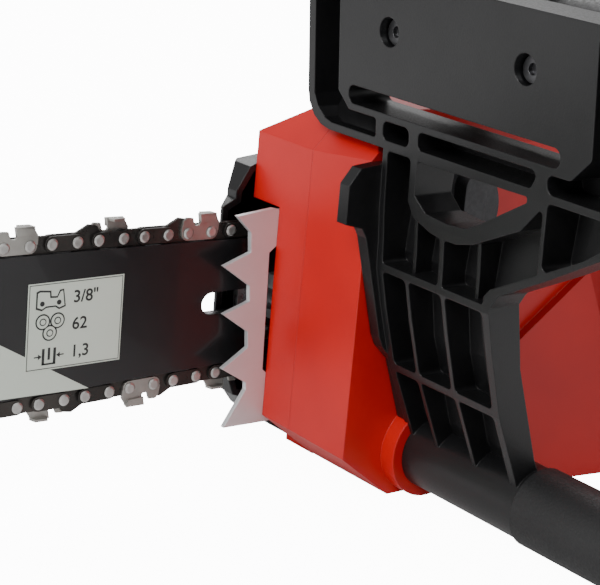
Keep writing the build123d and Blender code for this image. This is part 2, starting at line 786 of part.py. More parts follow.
def motor_volume(inset):
    """Wide rear of the body around the motor."""
    with BuildPart() as volume:
        with BuildSketch(Plane.XY.offset(inset)):
            with BuildLine():
                Polyline(
                    (46.0, -58.0), (68.0, -78.5), (172.0, -78.5), (204.0, PART_Y - HANDLE_HALF),
                    (204.0, PART_Y + HANDLE_HALF), (172.0, 22.5), (66.0, 22.5), (54.0, 12.0), (54.0, -30.0),
                    (46.0, -30.0), close=True,
                )
            make_face()
            offset(amount=-inset, kind=Kind.INTERSECTION)
        extrude(amount=TOP_Z - 2 * inset)
        with BuildSketch(SIDE_PLANE.offset(-100)):
            with BuildLine():
                Polyline((40.0, 0), (40.0, TOP_Z), (130.0, TOP_Z), (210.0, 124.0), (210.0, 0), close=True)
            make_face()
            offset(amount=-inset, kind=Kind.INTERSECTION)
        extrude(amount=250, mode=Mode.INTERSECT)
        with BuildSketch(Plane.YZ.offset(-100)):
            with BuildLine():
                Polyline(
                    (-70.0, 0), (-78.5, 9.0), (-78.5, 80.0), (-58.0, 112.0), (-44.0, TOP_Z), (-12.0, TOP_Z),
                    (2.0, 112.0), (22.5, 80.0), (22.5, 9.0), (14.0, 0), close=True,
                )
            make_face()
            offset(amount=-inset, kind=Kind.INTERSECTION)
        extrude(amount=400, mode=Mode.INTERSECT)
    return volume.part


def handle_volume(inset):
    """Rear handle: a closed loop in the middle of the saw."""
    with BuildPart() as volume:
        with BuildSketch(SIDE_PLANE.offset(-PART_Y)):
            with BuildLine():
                Polyline(
                    (168.0, 0), (168.0, 118.0), (206.0, 124.0), (240.0, 128.0), (318.0, 118.0),
                        (346.0, 98.0),
                    (354.0, 70.0), (350.0, 16.0), (338.0, 0), close=True,
                )
            make_face()
            with BuildLine():
                Polyline((228.0, 26.0), (222.0, 62.0), (228.0, 88.0), (306.0, 82.0), (322.0, 62.0),
                    (318.0, 26.0), close=True)
            make_face(mode=Mode.SUBTRACT)
            offset(amount=-inset, kind=Kind.INTERSECTION)
            if not inset:
                fillet(volume_corners(), radius=5.0)
        extrude(amount=HANDLE_HALF - inset, both=True)
        chamfer(side_edges(inset), length=4.5 - inset)
    return volume.part


def volume_corners():
    """Corners of the sketch in hand that lie on the handle, behind the motor."""
    return [v for v in BuildSketch._get_context().sketch.vertices() if v.X > 200]


def side_edges(inset):
    faces = BuildPart._get_context().faces().filter_by(Axis.Y)
    return [e for face in faces for e in face.edges() if e.center().X > 172]


with BuildPart() as housing:
    add(front_volume(0))
    add(shoulder_volume(0))
    add(motor_volume(0))
    add(handle_volume(0))
    # collar where the front handle enters, and its boss on the top
    with Locations(Plane(origin=(TUBE_X, LEFT_Y + 1, TUBE_Z), z_dir=(0, -1, 0))):
        Cylinder(17.4, 8.0, align=(Align.CENTER, Align.CENTER, Align.MIN))
    with Locations((BOW_X, BOW_END_Y, TOP_Z - 6)):
        Cylinder(15.0, 8.4, align=(Align.CENTER, Align.CENTER, Align.MIN))
    # bar bay: open to the right below the hood
    with Locations((BAY_REAR_X - 100, BAY_Y + 50, 0)):
        Box(200, 100, HOOD_Z * 2, mode=Mode.SUBTRACT, align=(Align.CENTER, Align.CENTER, Align.CENTER))

with BuildPart() as cavity:
    add(front_volume(WALL))
    add(shoulder_volume(WALL))
    add(motor_volume(WALL))
    with Locations((BAY_REAR_X + WALL - 100, BAY_Y - WALL + 50, 0)):
        Box(200, 100, (HOOD_Z + WALL) * 2, mode=Mode.SUBTRACT)
    add(handle_volume(WALL))

SCREW_PLACES = [
    (-30.0, 129.0), (30.0, 8.5), (62.0, 130.0), (160.0, 8.5), (160.0, 124.0), (213.0, 13.0), (214.0, 108.0),
    (335.0, 13.0), (335.0, 96.0),
]
SCREW_HEAD_Y = PART_Y + 12.0


def cross_plane(x, z, y=0.0):
    """Plane across the saw at a given place, looking to the saw's right."""
    return Plane(origin=(x, y, z), x_dir=(1, 0, 0), z_dir=(0, 1, 0))


with BuildPart() as bosses:
    for place in SCREW_PLACES:
        with Locations(cross_plane(*place, PART_Y)):
            Cylinder(6.2, 140.0)
    add(housing.part, mode=Mode.INTERSECT)

with BuildPart() as shell:
    add(housing.part)
    add(cavity.part, mode=Mode.SUBTRACT)
    add(bosses.part)
    for place in SCREW_PLACES:
        with Locations(cross_plane(*place, SCREW_HEAD_Y)):
            Cylinder(4.3, 80.0, mode=Mode.SUBTRACT, align=(Align.CENTER, Align.CENTER, Align.MIN))
            Cylinder(2.1, 24.0, mode=Mode.SUBTRACT, align=(Align.CENTER, Align.CENTER, Align.MAX))
    # floor web under the sprocket, out to the cover
    with Locations((6.0, -4.5, WALL / 2)):
        Box(90.0, 17.0, WALL)
    # seats for the front handle's tube
    with Locations(cross_plane(TUBE_X, TUBE_Z, LEFT_Y)):
        Cylinder(TUBE_R + 0.1, 40.0, mode=Mode.SUBTRACT)
    with Locations((BOW_X, BOW_END_Y, TOP_Z)):
        Cylinder(TUBE_R + 0.1, 40.0, mode=Mode.SUBTRACT)
    # sprocket shaft, filler neck, lock button, trigger slot, cord inlet
    with Locations(cross_plane(0, AXIS_Z, BAY_Y)):
        Cylinder(9.0, 12.0, mode=Mode.SUBTRACT)
    with Locations(cross_plane(CAP_X, CAP_Z, LEFT_Y)):
        Cylinder(NECK_R + 0.1, 12.0, mode=Mode.SUBTRACT)
    with Locations(cross_plane(BUTTON_X, BUTTON_Z, PART_Y - HANDLE_HALF)):
        Cylinder(BUTTON_R + 0.3, 12.0, mode=Mode.SUBTRACT)
    with Locations((265.0, PART_Y, 84.0)):
        Box(58.0, TRIGGER_W + 1.2, 14.0, mode=Mode.SUBTRACT)
    with Locations(Plane(origin=(351.0, PART_Y, GLAND_Z), z_dir=(1, 0, 0))):
        Cylinder(GLAND_R + 0.05, 20.0, mode=Mode.SUBTRACT)
    for stud_x in STUD_XS:
        with Locations(cross_plane(stud_x, AXIS_Z, BAY_Y)):
            Cylinder(4.05, 12.0, mode=Mode.SUBTRACT)
    for screw_z in SPIKE_SCREW_ZS:
        with Locations(cross_plane(SPIKE_SCREW_X, screw_z, BAY_Y)):
            Cylinder(2.45, 8.0, mode=Mode.SUBTRACT)
    # air slots in both flanks of the motor casing
    for slot_index in range(VENT_COUNT):
        with Locations((84.0 + slot_index * 9.0, PART_Y, 56.0)):
            Box(3.6, 160.0, 34.0, mode=Mode.SUBTRACT)

with BuildPart() as housing_left:
    add(shell.part)
    split(bisect_by=Plane(origin=(0, PART_Y, 0), z_dir=(0, -1, 0)), keep=Keep.TOP)
save(housing_left, "housing_left")
with BuildPart() as housing_right:
    add(shell.part)
    split(bisect_by=Plane(origin=(0, PART_Y, 0), z_dir=(0, 1, 0)), keep=Keep.TOP)
save(housing_right, "housing_right")

with BuildPart() as housing_screws:
    for place in SCREW_PLACES:
        with Locations(cross_plane(*place, SCREW_HEAD_Y)):
            Cylinder(4.0, 3.0, align=(Align.CENTER, Align.CENTER, Align.MIN))
            Cylinder(2.0, 22.0, align=(Align.CENTER, Align.CENTER, Align.MAX))
        with Locations(cross_plane(*place, SCREW_HEAD_Y + 3.0)):
            Cylinder(1.8, 1.5, mode=Mode.SUBTRACT, align=(Align.CENTER, Align.CENTER, Align.MAX))
save(housing_screws, "housing_screws")

# ---------------------------------------------------------------- rear handle controls
with BuildPart() as trigger:
    with BuildSketch(SIDE_PLANE.offset(-PART_Y)):
        with BuildLine():
            Polyline(
                (233.0, 99.0), (238.0, 104.0), (246.0, 99.0), (284.0, 95.0), (289.0, 90.0), (288.0, 76.0),
                (282.0, 73.0), (270.0, 77.0), (256.0, 80.0), (244.0, 88.0), (236.0, 92.0), close=True,
            )
        make_face()
        with Locations((TRIGGER_X, TRIGGER_Z)):
            Circle(2.05, mode=Mode.SUBTRACT)
    extrude(amount=TRIGGER_W / 2, both=True)
    fillet(trigger.edges().filter_by(Axis.Y).sort_by(Axis.Z)[:3], radius=2.0)
save(trigger, "trigger")
with BuildPart() as trigger_pin:
    with Locations(cross_plane(TRIGGER_X, TRIGGER_Z, PART_Y)):
        Cylinder(2.0, 2 * (HANDLE_HALF - WALL) - 0.2)
save(trigger_pin, "trigger_pin")

with BuildPart() as switch_body:
    with Locations((264.0, PART_Y, 112.0)):
        Box(36.0, 22.0, 14.0)
    with Locations((262.0, PART_Y, 109.0)):
        Cylinder(2.65, 8.2, mode=Mode.SUBTRACT)
save(switch_body, "switch_body")
with BuildPart() as switch_plunger:
    with Locations((262.0, PART_Y, 98.4)):
        Cylinder(2.5, 8.0, align=(Align.CENTER, Align.CENTER, Align.MIN))
save(switch_plunger, "switch_plunger")

with BuildPart() as lock_button:
    with Locations(cross_plane(BUTTON_X, BUTTON_Z, PART_Y - HANDLE_HALF - 4.5)):
        Cylinder(BUTTON_R, 10.0, align=(Align.CENTER, Align.CENTER, Align.MIN))
    chamfer(lock_button.faces().sort_by(Axis.Y)[0].edges(), length=1.0)
    with Locations(cross_plane(BUTTON_X, BUTTON_Z, PART_Y - HANDLE_HALF + 3.5)):
        Cylinder(BUTTON_R + 1.6, 2.0, align=(Align.CENTER, Align.CENTER, Align.MIN))
save(lock_button, "lock_button")

with BuildPart() as cord_gland:
    with Locations(Plane(origin=(348.0, PART_Y, GLAND_Z), z_dir=(1, 0, 0))):
        Cylinder(GLAND_R, 8.0, align=(Align.CENTER, Align.CENTER, Align.MIN))
    with Locations(Plane(origin=(353.2, PART_Y, GLAND_Z), z_dir=(1, 0, 0))):
        Cylinder(11.0, 4.0, align=(Align.CENTER, Align.CENTER, Align.MIN))
        Cylinder(4.2, 40.0, mode=Mode.SUBTRACT)
    chamfer(cord_gland.faces().sort_by(Axis.X)[-1].edges().sort_by(SortBy.RADIUS)[-1:], length=1.2)
save(cord_gland, "cord_gland")

# ---------------------------------------------------------------- oil system
with BuildPart() as oil_tank:
    with BuildSketch(SIDE_PLANE.offset(16.0)):
        with BuildLine():
            Polyline(
                (-57.5, 23.0), (-57.5, 120.5), (-8.0, 120.5), (-8.0, 100.0), (-24.0, 94.0), (-38.5, 80.0),
                (-41.0, 62.0), (-40.0, 44.0), (-40.0, 23.0), close=True,
            )
        make_face()
    extrude(amount=38.0)
    with BuildSketch(SIDE_PLANE.offset(18.0)):
        with BuildLine():
            Polyline(
                (-55.5, 25.0), (-55.5, 118.5), (-10.0, 118.5), (-10.0, 101.5), (-25.0, 96.0), (-40.3, 81.0),
                (-43.0, 62.0), (-42.0, 44.0), (-42.0, 25.0), close=True,
            )
        make_face()
    extrude(amount=34.0, mode=Mode.SUBTRACT)
    with Locations(cross_plane(CAP_X, CAP_Z, LEFT_Y - 2.5)):
        Cylinder(NECK_R, 8.0, align=(Align.CENTER, Align.CENTER, Align.MIN))
        Cylinder(NECK_BORE, 12.0, align=(Align.CENTER, Align.CENTER, Align.MIN), mode=Mode.SUBTRACT)
    with Locations(Plane(origin=(-41.0, -28.0, 28.0), z_dir=(1, 0, 0))):
        Cylinder(2.0, 6.0, mode=Mode.SUBTRACT)
save(oil_tank, "oil_tank")

with BuildPart() as oil_cap:
    with Locations(cross_plane(CAP_X, CAP_Z, LEFT_Y - 3.7)):
        Cylinder(17.0, 5.0, align=(Align.CENTER, Align.CENTER, Align.MAX))
        Cylinder(NECK_BORE - 0.1, 6.0, align=(Align.CENTER, Align.CENTER, Align.MIN))
    with BuildSketch(SIDE_PLANE.offset(-LEFT_Y + 8.6)):
        with Locations((CAP_X, CAP_Z)):
            with PolarLocations(17.0, 16):
                Circle(1.2, mode=Mode.ADD)
    extrude(amount=-4.8, mode=Mode.SUBTRACT)
    with BuildSketch(SIDE_PLANE.offset(-LEFT_Y + 8.6)):
        with Locations((CAP_X, CAP_Z)):
            SlotOverall(30.0, 10.0, rotation=90)
    extrude(amount=6.0)
save(oil_cap, "oil_cap")

with BuildPart() as oil_pump:
    with Locations((4.0, -32.0, 13.0)):
        Box(26.0, 20.0, 18.0)
    with Locations((0, -30.5, 20.0)):
        Cylinder(2.55, 20.0, mode=Mode.SUBTRACT)
save(oil_pump, "oil_pump")
with BuildPart() as pump_plunger:
    with Locations((0, -30.5, 14.0)):
        Cylinder(2.5, 38.8, align=(Align.CENTER, Align.CENTER, Align.MIN))
save(pump_plunger, "pump_plunger")
pump_cam = ring(9.0, SHAFT_R + 0.02, -33.2, -27.8)
save(pump_cam, "pump_cam")

with BuildPart() as oil_hoses:
    for route in (
        [(-39.8, -28.0, 28.0), (-24.0, -28.0, 28.0), (-20.0, -28.0, 13.0), (-9.1, -28.0, 13.0)],
        [(4.0, -24.8, 22.1), (4.0, -24.8, 32.0), (-32.0, -24.8, 36.0), (-34.0, -24.8, 49.5),
            (-34.0, -14.6, 49.5)],
    ):
        with BuildLine() as hose_line:
            FilletPolyline(*route, radius=3.6)
        start_direction = (Vector(*route[1]) - Vector(*route[0])).normalized()
        with BuildSketch(Plane(origin=route[0], z_dir=start_direction)):
            Circle(2.6)
        sweep(path=hose_line.line)
save(oil_hoses, "oil_hoses")

# ---------------------------------------------------------------- bar mounting and chain tension
with BuildPart() as bar_studs:
    for stud_x in STUD_XS:
        with Locations(cross_plane(stud_x, AXIS_Z, -15.8)):
            Cylinder(4.0, 38.0, align=(Align.CENTER, Align.CENTER, Align.MIN))
save(bar_studs, "bar_studs")

# pad between the bay wall and the bar, with a lug that carries the tension screw
PAD_Y = -BAR_T / 2 - 0.1
TENSION_X, TENSION_Z, TENSION_Y = -50.0, AXIS_Z - 12.5, -6.0
with BuildPart() as bar_pad:
    with BuildSketch(SIDE_PLANE.offset(-PAD_Y)):
        with Locations((-47.0, 63.0)):
            Rectangle(25.0, 16.8)
        with Locations(*[(stud_x, AXIS_Z) for stud_x in STUD_XS]):
            Circle(4.1, mode=Mode.SUBTRACT)
    extrude(amount=PAD_Y - BAY_Y - 0.1)
    with Locations((-37.0, -6.1, 50.0)):
        Box(5.0, 6.2, 10.0)
    with Locations(Plane(origin=(-37.0, TENSION_Y, TENSION_Z), z_dir=(1, 0, 0))):
        Cylinder(2.56, 10.0, mode=Mode.SUBTRACT)
save(bar_pad, "bar_pad")

with BuildPart() as clamp_plate:
    with BuildSketch(SIDE_PLANE.offset(-4.4)):
        with Locations((-49.0, AXIS_Z)):
            RectangleRounded(40.0, 36.0, 5.0)
        with Locations(*[(stud_x, AXIS_Z) for stud_x in STUD_XS]):
            Circle(4.2, mode=Mode.SUBTRACT)
        with Locations((TENSION_X, TENSION_Z)):
            Circle(3.6, mode=Mode.SUBTRACT)
    extrude(amount=4.4 - BAR_T / 2 - 0.1)
save(clamp_plate, "clamp_plate")

with BuildPart() as tension_block:
    with Locations((TENSION_X, TENSION_Y, TENSION_Z)):
        Box(9.0, 6.4, 8.6)
    with Locations(cross_plane(TENSION_X, TENSION_Z, -3.0)):
        Cylinder(3.0, 5.0, align=(Align.CENTER, Align.CENTER, Align.MIN))
    with Locations(Plane(origin=(TENSION_X, TENSION_Y, TENSION_Z), z_dir=(1, 0, 0))):
        Cylinder(2.52, 20.0, mode=Mode.SUBTRACT)
save(tension_block, "tension_block")
with BuildPart() as tension_screw:
    with Locations(Plane(origin=(-68.0, TENSION_Y, TENSION_Z), z_dir=(1, 0, 0))):
        Cylinder(2.5, 36.0, align=(Align.CENTER, Align.CENTER, Align.MIN))
        Cylinder(3.2, 3.0, align=(Align.CENTER, Align.CENTER, Align.MIN))
    with Locations((-68.0, TENSION_Y, TENSION_Z)):
        Box(2.4, 8.0, 1.0, mode=Mode.SUBTRACT)
save(tension_screw, "tension_screw")

# bumper spike: steel sheet with five teeth, against the bay wall
SPIKE_TEETH = [(-81.8, 97.0), (-86.1, 78.8), (-84.7, 60.6), (-83.5, 39.6), (-80.8, 16.4)]
VALLEYS = [
    ((-75.3, 90.5), (-74.6, 82.9)), ((-74.1, 70.4), (-73.5, 64.3)), ((-73.3, 52.8), (-72.7, 46.5)),
    ((-72.3, 32.9), (-72.1, 30.1)),
]
with BuildPart() as bumper_spike:
    with BuildSketch(SIDE_PLANE.offset(9.4)):
        with BuildLine():
            outline = [SPIKE_TEETH[0]]
            for tooth_tip, valley in zip(SPIKE_TEETH[1:], VALLEYS):
                outline += [valley[0], valley[1], tooth_tip]
            Polyline(
                *outline, (-61.1, 16.2), (-46.0, 18.0), (-46.0, 32.2), (-59.2, 32.2), (-65.0, 37.1),
                    (-66.3, 82.2),
                (-62.9, 84.8), (-46.0, 84.8), (-46.0, 97.5), (-62.8, 98.0), (-65.9, 98.7), close=True,
            )
        make_face()
        with Locations(*[(SPIKE_SCREW_X, screw_z) for screw_z in SPIKE_SCREW_ZS]):
            Circle(2.5, mode=Mode.SUBTRACT)
    extrude(amount=2.0)
save(bumper_spike, "bumper_spike")
with BuildPart() as spike_screws:
    for screw_z in SPIKE_SCREW_ZS:
        with Locations(cross_plane(SPIKE_SCREW_X, screw_z, -9.3)):
            Cylinder(4.5, 2.6, align=(Align.CENTER, Align.CENTER, Align.MIN))
            Cylinder(2.4, 4.8, align=(Align.CENTER, Align.CENTER, Align.MAX))
        with Locations(cross_plane(SPIKE_SCREW_X, screw_z, -6.7)):
            Cylinder(2.0, 1.4, mode=Mode.SUBTRACT, align=(Align.CENTER, Align.CENTER, Align.MAX))
save(spike_screws, "spike_screws")

# sprocket cover: its front and its top lean back towards the saw's right
COVER_FROM, COVER_TO = 4.6, 38.0
NUT_SEAT_Y = 12.0


def cover_volume(inset):
    """Solid envelope of the cover, all faces moved inwards by the inset."""
    with BuildPart() as volume:
        with BuildSketch(SIDE_PLANE.offset(-(COVER_TO - inset))):
            with BuildLine():
                Polyline(
                    (-77.0, 88.0), (-77.0, 96.2), (-71.5, 99.0), (-71.5, 101.7), (-66.0, 110.5),
                        (-52.0, 116.0),
                    (34.0, 116.0), (46.0, 104.0), (46.0, 8.0), (38.0, 1.0), (-37.0, 1.0), (-50.5, 10.0),
                    (-62.5, 20.8), (-66.0, 22.0), (-69.0, 29.5), (-77.0, 44.0), close=True,
                )
            make_face()
            offset(amount=-inset, kind=Kind.INTERSECTION)
        extrude(amount=COVER_TO - inset - COVER_FROM)
        with BuildSketch(Plane.XY):
            with BuildLine():
                Polyline(
                    (-77.0, 0.0), (-77.0, 6.0), (-36.0, COVER_TO), (36.0, COVER_TO), (46.0, 28.0),
                        (46.0, 0.0), close=True
                )
            make_face()
            offset(amount=-inset, kind=Kind.INTERSECTION)
            with Locations((0, 1.0)):
                Rectangle(160.0 - 2 * inset, 8.0, mode=Mode.ADD)
        extrude(amount=200.0, mode=Mode.INTERSECT)
        with BuildSketch(Plane.YZ.offset(-100)):
            with BuildLine():
                Polyline((-5.0, 0.0), (-5.0, 116.5), (5.5, 116.5), (COVER_TO, 100.0), (COVER_TO, 6.0),
                    (30.0, 0.0), close=True)
            make_face()
            offset(amount=-inset, kind=Kind.INTERSECTION)
        extrude(amount=300.0, mode=Mode.INTERSECT)
    return volume.part


with BuildPart() as nut_block:
    with Locations((-50.5, COVER_FROM, AXIS_Z)):
        Box(37.2, 60.0, 29.2, align=(Align.CENTER, Align.MIN, Align.CENTER))
    add(cover_volume(0), mode=Mode.INTERSECT)
with BuildPart() as sprocket_cover:
    add(cover_volume(0))
    add(cover_volume(2.6), mode=Mode.SUBTRACT)
    add(nut_block.part)
    with Locations((-50.5, NUT_SEAT_Y, AXIS_Z)):
        Box(32.0, 60.0, 24.0, mode=Mode.SUBTRACT, align=(Align.CENTER, Align.MIN, Align.CENTER))
    for stud_x in STUD_XS:
        with Locations(cross_plane(stud_x, AXIS_Z, COVER_FROM)):
            Cylinder(4.3, 30.0, mode=Mode.SUBTRACT)
save(sprocket_cover, "sprocket_cover")

with BuildPart() as bar_nuts:
    for stud_x in STUD_XS:
        with BuildSketch(SIDE_PLANE.offset(-(NUT_SEAT_Y + 0.1))):
            with Locations((stud_x, AXIS_Z)):
                Circle(7.9)
                Circle(4.05, mode=Mode.SUBTRACT)
        extrude(amount=-1.6)
        with BuildSketch(SIDE_PLANE.offset(-(NUT_SEAT_Y + 1.7))):
            with Locations((stud_x, AXIS_Z)):
                RegularPolygon(7.5, 6)
                Circle(4.05, mode=Mode.SUBTRACT)
        extrude(amount=-6.6)
save(bar_nuts, "bar_nuts")

# ---------------------------------------------------------------- front handle
BOW_ROUTE = [
    (TUBE_X, LEFT_Y + 8.0, TUBE_Z), (TUBE_X, LEG_Y, TUBE_Z), (BOW_X, LEG_Y, BOW_Z),
        (BOW_X, BOW_END_Y, BOW_Z),
    (BOW_X, BOW_END_Y, 119.0),
]
GRIP_ROUTE = [
    (TUBE_X, GRIP_START_Y, TUBE_Z), (TUBE_X, LEG_Y, TUBE_Z), (BOW_X, LEG_Y, BOW_Z),
        (BOW_X, GRIP_END_Y, BOW_Z),
]


def bent_tube(route, outer, inner):
    """Round tube along a route, bent at its corners, open along its whole length."""
    with BuildPart() as tube:
        with BuildLine() as line:
            FilletPolyline(*route, radius=BEND_R)
        with BuildSketch(Plane(origin=route[0], z_dir=(0, -1, 0))):
            Circle(outer)
            Circle(inner, mode=Mode.SUBTRACT)
        sweep(path=line.line)
    return tube


handle_tube = bent_tube(BOW_ROUTE, TUBE_R, TUBE_R - 1.6)
save(handle_tube, "handle_tube")
handle_grip = bent_tube(GRIP_ROUTE, GRIP_R, TUBE_R + 0.1)
save(handle_grip, "handle_grip")

FRONT_CURVE = [
    (-36.5, 26.0), (-48.5, 52.5), (-55.5, 76.0), (-59.0, 90.0), (-59.5, 100.6), (-60.5, 112.0),
        (-61.2, 132.0),
    (-66.5, GUARD_TOP_Z),
]
BACK_CURVE = [(-47.5, GUARD_TOP_Z), (-43.5, 131.0), (-46.5, 96.0), (-41.6, 68.8), (-29.7, 34.8),
    (-22.0, 20.0)]


def guard_slab(front_shift, back_shift):
    """Full-width slab that follows the side profile of the guard, its faces moved along X."""
    with BuildPart() as slab:
        with BuildSketch(SIDE_PLANE):
            with BuildLine():
                Polyline(
                    *[(x + front_shift, z) for x, z in FRONT_CURVE],
                    *[(x + back_shift, z) for x, z in BACK_CURVE], close=True,
                )
            make_face()
        extrude(amount=200.0)
    return slab.part


def guard_face(points, radius):
    """Prism along X over an outline given by (distance to the left, height)."""
    with BuildPart() as prism:
        with BuildSketch(Plane(origin=(-100, 0, 0), x_dir=(0, -1, 0), z_dir=(-1, 0, 0))) as face:
            with BuildLine():
                Polyline(*points, close=True)
            make_face()
            if radius:
                fillet(face.vertices(), radius=radius)
        extrude(amount=-100.0)
    return prism.part


GUARD_POCKETS = [
    ([(24.4, 188), (24.4, 143.8), (26.6, 139.2), (30.4, 136.2), (34.4, 135.1), (58.8, 135.1),
        (58.8, 141.8), (44.0, 141.8),
      (38.0, 147.5), (38.0, 188)], 1.2),
    ([(174, 188), (174, 141), (169, 135.5), (143.0, 135.5), (141.4, 141.8), (152.0, 141.8),
        (160.5, 150), (160.5, 188)], 2.6),
    ([(62.5, 141.8), (76.2, 141.8), (76.2, 135.2), (62.5, 135.2)], 2.4),
    ([(80.8, 141.8), (138.5, 141.8), (135.0, 135.5), (80.8, 135.5)], 2.2),
    ([(65.4, 131.9), (77.6, 131.9), (77.6, 117.4), (81.0, 112.4), (90.0, 109.4), (95.0, 108.8),
        (95.0, 92.4), (66.0, 92.4)], 1.6),
    ([(97.0, 108.7), (103.0, 108.9), (111.0, 110.9), (132.0, 121.0), (141.2, 131.2), (141.2, 109.0),
        (120.2, 98.4),
      (117.4, 95.2), (117.4, 92.4), (97.0, 92.4)], 1.2),
    ([(142.8, 132.8), (173.0, 132.8), (170.0, 125.6), (160.0, 118.6), (142.8, 109.8)], 2.0),
    ([(66.2, 89.6), (78.3, 89.6), (78.3, 54.8), (66.2, 54.8)], 1.8),
    ([(79.9, 89.6), (96.8, 89.6), (96.8, 54.8), (79.9, 54.8)], 1.8),
    ([(98.6, 89.6), (117.3, 89.6), (117.3, 54.8), (98.6, 54.8)], 1.8),
    ([(66.2, 51.9), (78.4, 51.9), (78.4, 22.0), (66.2, 22.0)], 1.4),
    ([(80.0, 51.9), (98.0, 51.9), (98.0, 22.0), (80.0, 22.0)], 1.4),
    ([(99.8, 51.9), (117.3, 51.9), (117.3, 22.0), (99.8, 22.0)], 1.4),
]
GUARD_OUTLINE = [
    (63.0, 18.0), (63.0, 132.3), (33.0, 132.3), (28.5, 133.2), (24.4, 135.8), (21.6, 140.0), (20.8, 144.5),
    (20.8, GUARD_TOP_Z), (177.5, GUARD_TOP_Z), (177.5, 134.0),
    (171.0, 122.8), (144.9, 108.0), (124.5, 97.3), (120.6, 92.0), (120.6, 18.0),
]
WINDOW = [(80.8, 131.7), (133.8, 132.6), (133.8, 130.6), (113.0, 118.2), (107.0, 115.3), (98.0, 114.5),
    (87.0, 115.3), (80.8, 120.0)]
LOW_RIBS = [(88.0, 54.8, 89.6), (108.0, 54.8, 89.6), (88.5, 24.0, 51.9), (108.5, 24.0, 51.9),
    (86.5, 92.4, 109.8)]
DEEP_RIBS = [(79.2, 92.4, 113.4), (111.0, 92.4, 111.4)]

with BuildPart() as front_handle:
    add(guard_slab(0, 0))
    add(guard_face(GUARD_OUTLINE, 0), mode=Mode.INTERSECT)
    for points, radius in GUARD_POCKETS:
        with BuildPart(mode=Mode.PRIVATE) as pocket:
            add(guard_face(points, radius))
            add(guard_slab(-8, -2.6), mode=Mode.INTERSECT)
            add(front_volume(-3.0), mode=Mode.SUBTRACT)
        add(pocket.part, mode=Mode.SUBTRACT)
    for ribs, reach in ((LOW_RIBS, 8.0), (DEEP_RIBS, 3.0)):
        for centre, low, high in ribs:
            with BuildPart(mode=Mode.PRIVATE) as rib:
                add(guard_face([(centre - 0.8, low), (centre + 0.8, low), (centre + 0.8, high),
                    (centre - 0.8, high)], 0))
                add(guard_slab(reach, 0), mode=Mode.INTERSECT)
            add(rib.part)
    # window, hand slot and the hollow behind the plate
    add(guard_face(WINDOW, 0.9), mode=Mode.SUBTRACT)
    add(guard_face([(43.6, 150.7), (147.3, 150.7), (147.3, 144.2), (43.6, 144.2)], 3.0), mode=Mode.SUBTRACT)
    with BuildPart(mode=Mode.PRIVATE) as hollow:
        add(guard_face([(41.0, 188), (157.5, 188), (157.5, 153.4), (41.0, 153.4)], 3.0))
        add(guard_slab(3.0, 6.0), mode=Mode.INTERSECT)
    add(hollow.part, mode=Mode.SUBTRACT)
    for stay_y in STAY_YS:
        with Locations(Plane(origin=(-62.5, stay_y, BOW_Z), z_dir=(1, 0, 0))):
            Cylinder(8.0, 16.0, align=(Align.CENTER, Align.CENTER, Align.MIN))
    # clear of the body's bevelled front edge
    add(front_volume(-0.4), mode=Mode.SUBTRACT)
    # side plate and lug beside the body
    with BuildSketch(SIDE_PLANE.offset(58.2)):
        with BuildLine():
            Polyline(
                (-74.5, 106.5), (-74.5, 120.0), (-70.0, 125.6), (-62.0, 126.5), (-48.0, 126.5),
                    (-46.5, 100.0), (-42.0, 70.0),
                (-33.0, 45.0), (-26.0, 31.0), (-37.0, 28.0), (-46.5, 54.0), (-52.5, 60.0),
                    (-54.5, 64.0), (-65.0, 101.0),
                (-67.2, 104.6), close=True,
            )
        make_face()
    extrude(amount=5.0)
    with Locations(cross_plane(TUBE_X, TUBE_Z, -64.6)):
        Cylinder(17.8, 20.0, mode=Mode.SUBTRACT, align=(Align.CENTER, Align.CENTER, Align.MIN))
    # sleeve over the lower run of the tube
    with Locations(cross_plane(TUBE_X, TUBE_Z, -64.6)):
        Cylinder(SLEEVE_R, -64.6 - GRIP_START_Y - 0.1, align=(Align.CENTER, Align.CENTER, Align.MAX))
    with Locations(cross_plane(TUBE_X, TUBE_Z, -90.0)):
        Cylinder(TUBE_R + 0.1, 80.0, mode=Mode.SUBTRACT)
    for stay_y in STAY_YS:
        with Locations(Plane(origin=(-70.0, stay_y, BOW_Z), z_dir=(1, 0, 0))):
            Cylinder(5.0, 11.4, mode=Mode.SUBTRACT, align=(Align.CENTER, Align.CENTER, Align.MIN))
            Cylinder(2.3, 40.0, mode=Mode.SUBTRACT, align=(Align.CENTER, Align.CENTER, Align.MIN))
save(front_handle, "front_handle")

with BuildPart() as guard_stays:
    for stay_y in STAY_YS:
        with BuildSketch(SIDE_PLANE.offset(-stay_y - 6.0)):
            with BuildLine():
                Polyline((-46.3, 165.0), (-46.3, 179.0), (BOW_X, 179.0), (BOW_X, 165.0), close=True)
            make_face()
            with Locations((BOW_X, BOW_Z)):
                Circle(GRIP_R + 4.2)
                Circle(GRIP_R + 0.1, mode=Mode.SUBTRACT)
        extrude(amount=12.0)
        with Locations(Plane(origin=(-48.0, stay_y, BOW_Z), z_dir=(1, 0, 0))):
            Cylinder(2.3, 30.0, mode=Mode.SUBTRACT, align=(Align.CENTER, Align.CENTER, Align.MIN))
save(guard_stays, "guard_stays")
with BuildPart() as guard_screws:
    for stay_y in STAY_YS:
        with Locations(Plane(origin=(-58.8, stay_y, BOW_Z), z_dir=(1, 0, 0))):
            Cylinder(2.2, 36.0, align=(Align.CENTER, Align.CENTER, Align.MIN))
            Cylinder(4.4, 2.8, align=(Align.CENTER, Align.CENTER, Align.MAX))
        with Locations(Plane(origin=(-61.6, stay_y, BOW_Z), z_dir=(1, 0, 0))):
            Cylinder(1.9, 1.8, mode=Mode.SUBTRACT, align=(Align.CENTER, Align.CENTER, Align.MIN))
save(guard_screws, "guard_screws")

